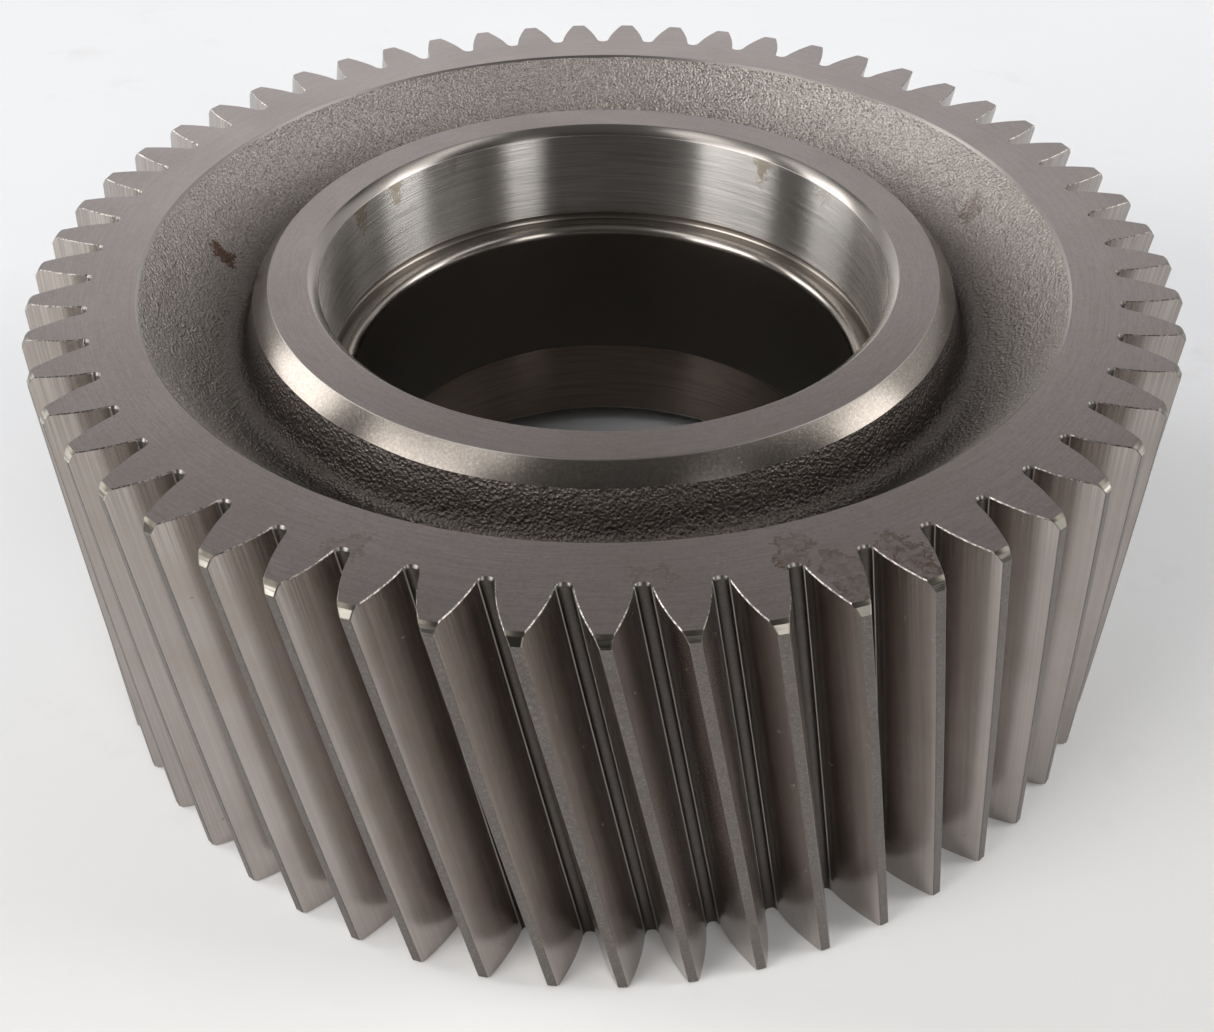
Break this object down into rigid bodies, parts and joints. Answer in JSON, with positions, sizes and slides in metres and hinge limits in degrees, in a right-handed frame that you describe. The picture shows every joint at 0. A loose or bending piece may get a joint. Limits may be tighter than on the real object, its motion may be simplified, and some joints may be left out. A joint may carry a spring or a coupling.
{
  "type": "helical gear",
  "caption": "External helical gear with a dished web, recessed hub and a ground bearing seat at each end of its stepped bore.",
  "frame": {"origin": "on the gear axis at mid face width, which is the centre of the part's box", "axes": "+Z along the gear axis; the two rim faces are normal to Z; the two sides are alike but for the larger tooth-end chamfer on +Z"},
  "size_m": [0.3518, 0.3518, 0.141],
  "materials": {
    "steel": "case-hardened steel: ground teeth and seats, turned faces, shot-blasted forged web"
  },
  "bodies": {
    "root": {"helical_gear": "steel"}
  },
  "joints": []
}
